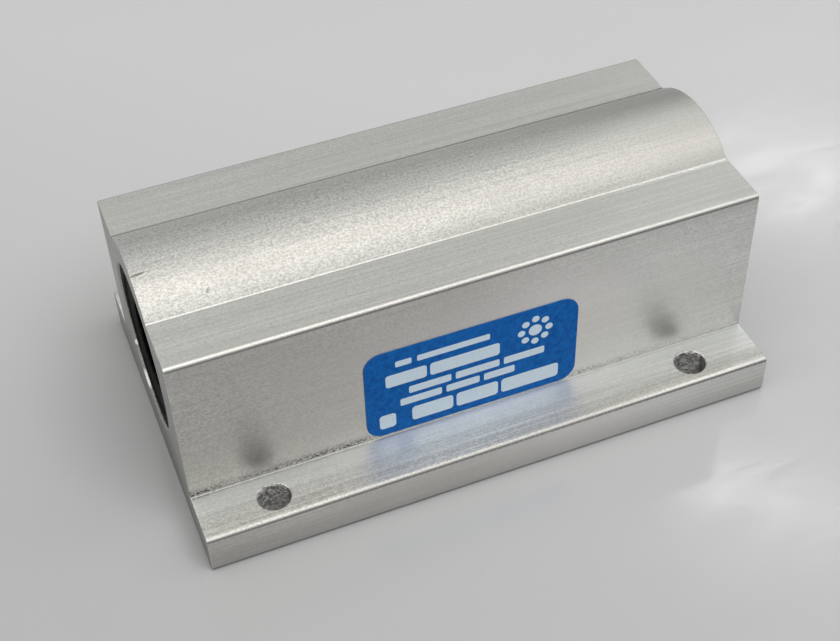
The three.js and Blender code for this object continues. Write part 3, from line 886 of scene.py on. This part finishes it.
def bolt_hole_cutter(x, y):
    """A drilled hole with a small break at each mouth."""
    past = 1 * MM
    wide = HOLE_RADIUS + HOLE_CHAMFER + past
    outline = [
        (-past, wide),
        (HOLE_CHAMFER, HOLE_RADIUS),
        (BASE_THICKNESS - HOLE_CHAMFER, HOLE_RADIUS),
        (BASE_THICKNESS + past, wide),
    ]
    return move(turned_plug("hole_cutter", outline, 56), (x, y, 0), (0, -QUARTER_TURN, 0))


def build_housing():
    """The extrusion, bored through along X and drilled for four bolts."""
    piece = extruded("pillow_block_body", housing_section(), -HALF_LENGTH, HALF_LENGTH, END_EDGE)
    cutters = [bore_cutter()]
    cutters += [bolt_hole_cutter(x, y) for x in (-HOLE_X, HOLE_X) for y in (-HOLE_Y, HOLE_Y)]
    shade(carve(piece, cutters))
    settle(piece, aluminium(), "aluminium", "block", "pillow_block_housing")


def on_label(piece):
    """Stands a piece drawn flat in X and Y up on the front wall, where the label is."""
    centre = ((LABEL_LOW.x + LABEL_HIGH.x) / 2, LABEL_HIGH.y, (LABEL_LOW.z + LABEL_HIGH.z) / 2)
    piece.data.transform(Matrix.Rotation(LABEL_TILT, 4, "Z"))
    return move(piece, centre, (QUARTER_TURN, 0, 0))


def flat_plate(name, outline, low, high, edge):
    """A thin plate over an (x, y) outline, with a rounded upper edge."""
    rings = [[(x, y, low) for x, y in outline]]
    for turn in steps(0, QUARTER_TURN, 2):
        z = high - edge * (1 - math.sin(turn))
        rings.append([(x, y, z) for x, y in inset(outline, edge * (1 - math.cos(turn)))])
    return new_object(name, *joined_rings(rings))


def rounded_box(centre, width, height, radius):
    """A rounded rectangle's outline."""
    x, y = centre
    a, b = width / 2, height / 2
    corners = [(x + a, y - b), (x + a, y + b), (x - a, y + b), (x - a, y - b)]
    return rounded([(u, v, radius) for u, v in corners], 6)


def label_marks():
    """Outlines of the label's generic print: a ring of dots and rows of plain bars, no lettering."""
    row = LABEL_HEIGHT / 9
    rows = (
        (-3.0 * row, 1.5 * row, (-16.8, -13.9, -11.0, -3.6, -3.0, 4.6, 5.2, 15.8)),
        (-1.35 * row, 0.75 * row, (-13.0, -5.6, -4.8, 1.2, 2.0, 7.6)),
        (-0.2 * row, 0.75 * row, (-11.4, -3.9, -3.1, 4.8, 5.6, 13.0)),
        (1.35 * row, 1.3 * row, (-15.4, -8.2, -7.6, 4.8)),
        (3.0 * row, 0.6 * row, (-13.6, -10.8, -9.8, 3.0)),
    )
    marks = []
    for y, height, ends in rows:
        for start, end in zip(ends[::2], ends[1::2]):
            middle = (start + end) / 2 * MM
            marks.append(rounded_box((middle, y), (end - start) * MM, height, 0.2 * height))
    hub = (11.2 * MM, 2.2 * row)
    dots = [circle(centre, 0.68 * MM, 20) for centre in circle(hub, 2.5 * MM, 8)]
    return marks + dots + [circle(hub, 1.2 * MM, 32)]


def build_label():
    """The blue film, and its white marks as one thin raised mesh."""
    outline = rounded_box((0, 0), LABEL_WIDTH, LABEL_HEIGHT, LABEL_CORNER)
    film = flat_plate("label_film", outline, 0, LABEL_THICKNESS - INK_THICKNESS, 0.03 * MM)
    shade(on_label(film))
    settle(film, label_film(), "label_print", "block", "label")
    vertices, faces = [], []
    heights = (LABEL_THICKNESS - 1.5 * INK_THICKNESS, LABEL_THICKNESS)
    for mark in label_marks():
        points, sides = joined_rings([[(x, y, z) for x, y in mark] for z in heights])
        faces += [tuple(index + len(vertices) for index in side) for side in sides]
        vertices += points
    ink = new_object("label_white_marks", vertices, faces)
    shade(on_label(ink))
    settle(ink, label_ink(), "label_print", "block")


# ---------------- seals and snap rings


def seal_outline():
    """The seal's section as (x, radius), from its outer face at x = 0 inwards."""
    half = [
        (0.0, SEAL_RADIUS, 0.25 * MM),
        (0.0, 12.3 * MM, 0.15 * MM),
        (0.35 * MM, 11.9 * MM, 0.1 * MM),
        (0.35 * MM, 10.9 * MM, 0.1 * MM),
        (0.1 * MM, 10.5 * MM, 0.15 * MM),
        (0.5 * MM, SEAL_LIP_RADIUS, 0.12 * MM),
        (0.8 * MM, SEAL_LIP_RADIUS, 0.1 * MM),
        (1.7 * MM, 9.6 * MM, 0.4 * MM),
    ]
    other = [(SEAL_THICKNESS - x, radius, fillet) for x, radius, fillet in reversed(half)]
    return rounded(half + other, 4)


def build_seals(rubber):
    """The end seals, each with its outer face at its own end of the block."""
    outer_faces = {"left": SEAL_LOW.x, "right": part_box("right_end_seal")[1].x}
    for side, x in outer_faces.items():
        piece = turned(f"{side}_shaft_seal", seal_outline())
        move(piece, (x, 0, SHAFT_HEIGHT), (0, 0, 0 if side == "left" else HALF_TURN))
        shade(piece, 40)
        settle(piece, rubber, "seal_rubber", "block", f"{side}_end_seal")


def snap_ring_outline():
    """An internal snap ring, open at the bottom, with a lug at each end, in Y and Z."""
    start = RING_HALF_OPENING - QUARTER_TURN
    end = 1.5 * HALF_TURN - RING_HALF_OPENING
    lug = RING_LUG_ANGLE
    return (
        arc((0, 0), RING_OUTER_RADIUS, start, end, 96)
        + arc((0, 0), RING_LUG_RADIUS, end, end - lug, 6)
        + arc((0, 0), RING_INNER_RADIUS, end - lug, start + lug, 80)
        + arc((0, 0), RING_LUG_RADIUS, start + lug, start, 6)
    )


def build_snap_rings(steel):
    """The snap rings, each with a plier hole in both lugs."""
    hole_radius = (RING_LUG_RADIUS + RING_OUTER_RADIUS) / 2
    for number, (low, high) in enumerate(RING_BOXES, 1):
        half = (high.x - low.x) / 2
        drill_outline = [(-2 * half, PLIER_HOLE_RADIUS), (2 * half, PLIER_HOLE_RADIUS)]
        piece = extruded(f"internal_snap_ring_{number}", snap_ring_outline(), -half, half, 0.08 * MM)
        cutters = []
        for side in (-1, 1):
            turn = -QUARTER_TURN + side * (RING_HALF_OPENING + RING_LUG_ANGLE / 2)
            drill = turned_plug("plier_hole", drill_outline, 28)
            cutters.append(move(drill, polar(0, hole_radius, turn)))
        carve(piece, cutters)
        move(piece, ((low.x + high.x) / 2, 0, SHAFT_HEIGHT))
        shade(piece)
        settle(piece, steel, "spring_steel", "block", f"snap_ring_{number}")


# ---------------- bushing pieces


def seat(piece, side, turn=(0, 0, 0)):
    """Turns a piece drawn round the origin, moves it to its bushing's centre and shades it."""
    return shade(move(piece, (BUSHING_CENTRES[side], 0, SHAFT_HEIGHT), turn))


def plate_turn(index):
    """Where a bearing plate stands round the shaft, the first one at the top."""
    return QUARTER_TURN + index * PLATE_PITCH


def circuit_plane(turn, side):
    """A circuit's loaded point, middle, directions across and outwards, and turn radius."""
    loaded = polar(0, LOADED_ROW_RADIUS, turn + side * LOADED_ROW_ANGLE)
    back = polar(0, RETURN_ROW_RADIUS, turn + side * RETURN_ROW_ANGLE)
    across = back - loaded
    out = across.normalized().cross(Vector((side, 0, 0)))
    return loaded, (loaded + back) / 2, across.normalized(), out, across.length / 2


def circuit_point(plane, end, turn):
    """A point on one of a circuit's half turns, and the direction away from its centre."""
    _, middle, across, _, radius = plane
    sideways = across * -math.cos(turn) + Vector((end * math.sin(turn), 0, 0))
    return middle + sideways * radius + Vector((end * TRACK_HALF_LENGTH, 0, 0)), sideways


def ball_row(count):
    """Where touching balls lie along the shaft, either side of the middle."""
    return [(i - (count - 1) / 2) * 2 * BALL_RADIUS for i in range(count)]


def return_ball_places(turn, side):
    """Where a circuit's returning balls lie, spread along the return row and both turns."""
    plane = circuit_plane(turn, side)
    radius = plane[4]
    places = []
    for along in ball_row(RETURN_BALLS):
        past = abs(along) - TRACK_HALF_LENGTH
        if past <= 0:
            point = circuit_point(plane, 1, HALF_TURN)[0]
            point.x = along
        else:
            end = math.copysign(1, along)
            point = circuit_point(plane, end, HALF_TURN - past / radius)[0]
        places.append(point)
    return places


def ball_mesh(name, places):
    """One mesh of separate balls."""
    work = bmesh.new()
    for centre in places:
        spin = Matrix.Rotation(random.random() * FULL_TURN, 4, "Z")
        bmesh.ops.create_icosphere(
            work, subdivisions=2, radius=BALL_RADIUS, matrix=Matrix.Translation(centre) @ spin
        )
    mesh = bpy.data.meshes.new(name)
    work.to_mesh(mesh)
    work.free()
    mesh.shade_smooth()
    return add_object(name, mesh)


def build_balls(side, steel):
    """Each plate's two loaded rows, and the returning balls between it and the next plate."""
    centre = Vector((BUSHING_CENTRES[side], 0, SHAFT_HEIGHT))
    for index in range(PLATES):
        turn = plate_turn(index)
        number = index + 1
        for letter, way in (("a", -1), ("b", 1)):
            row = circuit_plane(turn, way)[0]
            places = [centre + row + Vector((along, 0, 0)) for along in ball_row(LOADED_BALLS)]
            piece = ball_mesh(f"{side}_loaded_ball_row_{number}{letter}", places)
            body = f"{side}_loaded_row_{number}{letter}"
            node_name = f"{side}_bushing_loaded_balls_{number}{letter}"
            settle(piece, steel, "ball_steel", body, node_name)
        places = return_ball_places(turn, 1) + return_ball_places(turn + PLATE_PITCH, -1)
        piece = ball_mesh(f"{side}_returning_balls_{number}", [centre + point for point in places])
        settle(piece, steel, "ball_steel", "block", f"{side}_bushing_return_balls_{number}")


def channel_cutter(turn, side):
    """Space for one circuit: round under the balls and open outwards."""
    plane = circuit_plane(turn, side)
    out = plane[3]
    section = arc((0, 0), CHANNEL_RADIUS, HALF_TURN, FULL_TURN, 10)
    section += [(CHANNEL_RADIUS, CHANNEL_HEIGHT), (-CHANNEL_RADIUS, CHANNEL_HEIGHT)]
    path = [circuit_point(plane, 1, t) for t in steps(0, HALF_TURN, 14)]
    path += [circuit_point(plane, -1, t) for t in steps(HALF_TURN, 0, 14)]
    rings = [[at + sideways * s + out * o for s, o in section] for at, sideways in path]
    return new_object("channel_cutter", *joined_rings(rings, closed=True))


def pocket_cutter(turn):
    """Space for one bearing plate."""
    floor, mouth = (POCKET_FLOOR_RADIUS, 0.2 * MM), (RETAINER_OUTER_RADIUS + 2 * MM, 0.0)
    corners = [
        (*polar(0, radius, turn + way * POCKET_HALF_ANGLE).yz, fillet)
        for way, (radius, fillet) in ((-1, floor), (-1, mouth), (1, mouth), (1, floor))
    ]
    outline = rounded(corners, 3)
    return extruded("pocket_cutter", outline, -POCKET_HALF_LENGTH, POCKET_HALF_LENGTH, 0.1 * MM)


def build_retainers(material):
    """The ball retainer: a tube with a pocket for each plate and a channel for each circuit."""
    radii = (RETAINER_INNER_RADIUS, RETAINER_OUTER_RADIUS)
    first = tube("retainer_mould", RETAINER_HALF_LENGTH, *radii, 0.25 * MM, 120)
    cutters = []
    for index in range(PLATES):
        turn = plate_turn(index)
        cutters += [pocket_cutter(turn), channel_cutter(turn, 1), channel_cutter(turn, -1)]
    carve(first, cutters)
    for side in BUSHINGS:
        piece = seat(add_object(f"{side}_ball_cage", first.data.copy()), side)
        settle(piece, material, "retainer_polymer", "block", f"{side}_bushing_ball_retainer")
    bpy.data.objects.remove(first)


def plate_section(drop):
    """A bearing plate's outline in Y and Z at angle 0, its back lowered by a drop."""
    reach = math.acos((PLATE_INNER_RADIUS - LOADED_ROW_RADIUS) / PLATE_GROOVE_RADIUS)
    half = PLATE_HALF_ANGLE
    outline = arc((0, 0), PLATE_CROWN_RADIUS - drop, -half, half, 12)
    outline.append(arc((0, 0), PLATE_INNER_RADIUS, half, half, 1)[0])
    for side in (1, -1):
        middle = side * LOADED_ROW_ANGLE
        centre = polar(0, LOADED_ROW_RADIUS, middle).yz
        outline += arc(centre, PLATE_GROOVE_RADIUS, middle + reach, middle - reach, 12)
    outline.append(arc((0, 0), PLATE_INNER_RADIUS, -half, -half, 1)[0])
    return outline


def build_plates(side, steel):
    """The crowned, double-track bearing plates."""
    edge = 0.06 * MM
    inner = 1 - edge / PLATE_HALF_LENGTH / 2
    for index in range(PLATES):
        rings = []
        for share in [-1, *steps(-inner, inner, 12), 1]:
            depth = edge if abs(share) == 1 else 0
            section = inset(plate_section(PLATE_CROWN_DROP * share**2), depth)
            rings.append([(share * PLATE_HALF_LENGTH, y, z) for y, z in section])
        piece = new_object(f"{side}_load_plate_{index + 1}", *joined_rings(rings))
        seat(piece, side, (plate_turn(index), 0, 0))
        body = f"{side}_plate_{index + 1}"
        settle(piece, steel, "race_steel", body, f"{side}_bushing_bearing_plate_{index + 1}")


def build_race_ring(side, steel):
    """The hardened ring that the plates rock on."""
    name = f"{side}_hardened_race"
    piece = tube(name, RACE_HALF_LENGTH, RACE_INNER_RADIUS, BUSHING_RADIUS, 0.3 * MM)
    seat(piece, side)
    settle(piece, steel, "race_steel", "block", f"{side}_bushing_race_ring")


def build_sleeves(side, material):
    """The polymer sleeves that close the retainer, each with a snap ring groove."""
    outer, edge = BUSHING_RADIUS, 0.12 * MM
    start, end = RACE_HALF_LENGTH + SLEEVE_GAP, BUSHING_HALF_LENGTH
    inside = end - SLEEVE_END_THICKNESS
    groove_start = SLEEVE_GROOVE_CENTRE - SLEEVE_GROOVE_WIDTH / 2
    groove_end = SLEEVE_GROOVE_CENTRE + SLEEVE_GROOVE_WIDTH / 2
    floor = outer - SLEEVE_GROOVE_DEPTH
    corners = [
        (start, outer, edge),
        (start, RACE_INNER_RADIUS, edge),
        (inside, RACE_INNER_RADIUS, edge),
        (inside, SLEEVE_END_RADIUS, edge),
        (end, SLEEVE_END_RADIUS, 4 * edge),
        (end, outer, 4 * edge),
        (groove_end, outer, edge),
        (groove_end, floor, edge),
        (groove_start, floor, edge),
        (groove_start, outer, edge),
    ]
    for end_name in ("outer", "inner"):
        faces_right = (end_name == "inner") == (side == "left")
        piece = turned(f"{side}_{end_name}_end_sleeve", rounded(corners, 4))
        seat(piece, side, (0, 0, 0 if faces_right else HALF_TURN))
        settle(piece, material, "sleeve_polymer", "block", f"{side}_bushing_{end_name}_sleeve")


def build_bushings():
    """Both bushings, which share one material of each kind."""
    race_steel = ground_steel()
    polished_steel = ball_steel()
    black = polymer("black_sleeve_polymer", (0.012, 0.012, 0.013), (0.024, 0.024, 0.026), 0.46)
    for side in BUSHINGS:
        build_race_ring(side, race_steel)
        build_plates(side, race_steel)
        build_sleeves(side, black)
        build_balls(side, polished_steel)
    build_retainers(polymer("pale_retainer_polymer", (0.6, 0.56, 0.46), (0.68, 0.64, 0.54), 0.42))


# ---------------- stage


def build_floor():
    """A table top just under the block."""
    size, height = 1.6, -0.02 * MM
    corners = [(x, y, height) for x, y in ((-size, -size), (size, -size), (size, size), (-size, size))]
    floor = new_object("table_top", corners, [(0, 1, 2, 3)])
    floor.data.materials.append(table_top())


def area_light(name, direction, distance, size, power):
    """A rectangular light, seen from the object at (azimuth, elevation) degrees from +Y."""
    azimuth, elevation = (value * DEGREE for value in direction)
    flat = math.cos(elevation)
    away = Vector((math.sin(azimuth) * flat, math.cos(azimuth) * flat, math.sin(elevation)))
    data = bpy.data.lights.new(name, "AREA")
    data.shape = "RECTANGLE"
    data.size, data.size_y = size
    data.energy = power
    light = add_object(name, data)
    light.location = Vector((0, 0, 0.02)) + away * distance
    light.rotation_mode = "QUATERNION"
    light.rotation_quaternion = away.to_track_quat("Z", "Y")
    return light


def world_color(tree):
    """Room light by its angle over the part, from behind it to the camera's side."""
    direction = node(tree, "TexCoord").outputs["Generated"]
    right, back, up = node(tree, "SeparateXYZ", {0: direction}).outputs
    angle = calc(tree, "ARCTAN2", calc(tree, "MAXIMUM", up, 0.0), back)
    ramp = node(tree, "ValToRGB", {0: calc(tree, "DIVIDE", angle, HALF_TURN)})
    ramp.color_ramp.interpolation = "B_SPLINE"
    stops = ramp.color_ramp.elements
    while len(stops) < len(ROOM_LIGHT):
        stops.new(0.5)
    for stop, (degrees, level, warmth) in zip(stops, ROOM_LIGHT):
        stop.position = degrees / 180
        stop.color = (level * (1 + warmth), level, level * (1 - warmth), 1)
    # Straight along X the angle means nothing, so the light there is even.
    along = remap(tree, calc(tree, "ABSOLUTE", right), 0.85, 0.98)
    color = blend(tree, along, ramp.outputs[0], ROOM_END_COLOR)
    falloff = remap(tree, right, -0.1, 0.8, 1.0, ROOM_RIGHT_SHARE)
    return node(tree, "VectorMath", {0: color, 1: falloff}, operation="MULTIPLY").outputs[0]


def build_lights():
    """Three panels for the highlights, a soft fill and the room."""
    area_light("rear_right_panel", (40, 36), 1.6, (0.16, 0.07), 0.2)
    area_light("upper_right_panel", (44, 50), 1.6, (0.22, 0.07), 0.25)
    area_light("right_window", (100, 38), 1.2, (0.5, 0.5), 1.0)
    # Fills the table top and the label evenly, and leaves the metal to the room's own light.
    fill = area_light("front_fill", (160, 58), 1.5, (0.9, 0.9), 15.0)
    fill.visible_glossy = False
    world = bpy.data.worlds.new("pale_room")
    world.use_nodes = True
    tree = world.node_tree
    background = tree.nodes["Background"]
    socket(tree, background.inputs["Color"], world_color(tree))
    background.inputs["Strength"].default_value = ROOM_STRENGTH
    bpy.context.scene.world = world


def build_camera():
    """The camera that matches the photograph."""
    data = bpy.data.cameras.new("camera")
    data.lens = CAMERA_LENS
    data.clip_start = 0.01
    camera = add_object("camera", data)
    camera.location = CAMERA_PLACE
    camera.rotation_euler = CAMERA_TURN
    bpy.context.scene.camera = camera


# ---------------- everything

random.seed(5)
build_camera()
build_lights()
build_floor()
build_housing()
build_label()
build_seals(seal_rubber())
build_snap_rings(spring_steel())
build_bushings()

bpy.context.scene.view_settings.view_transform = "Standard"
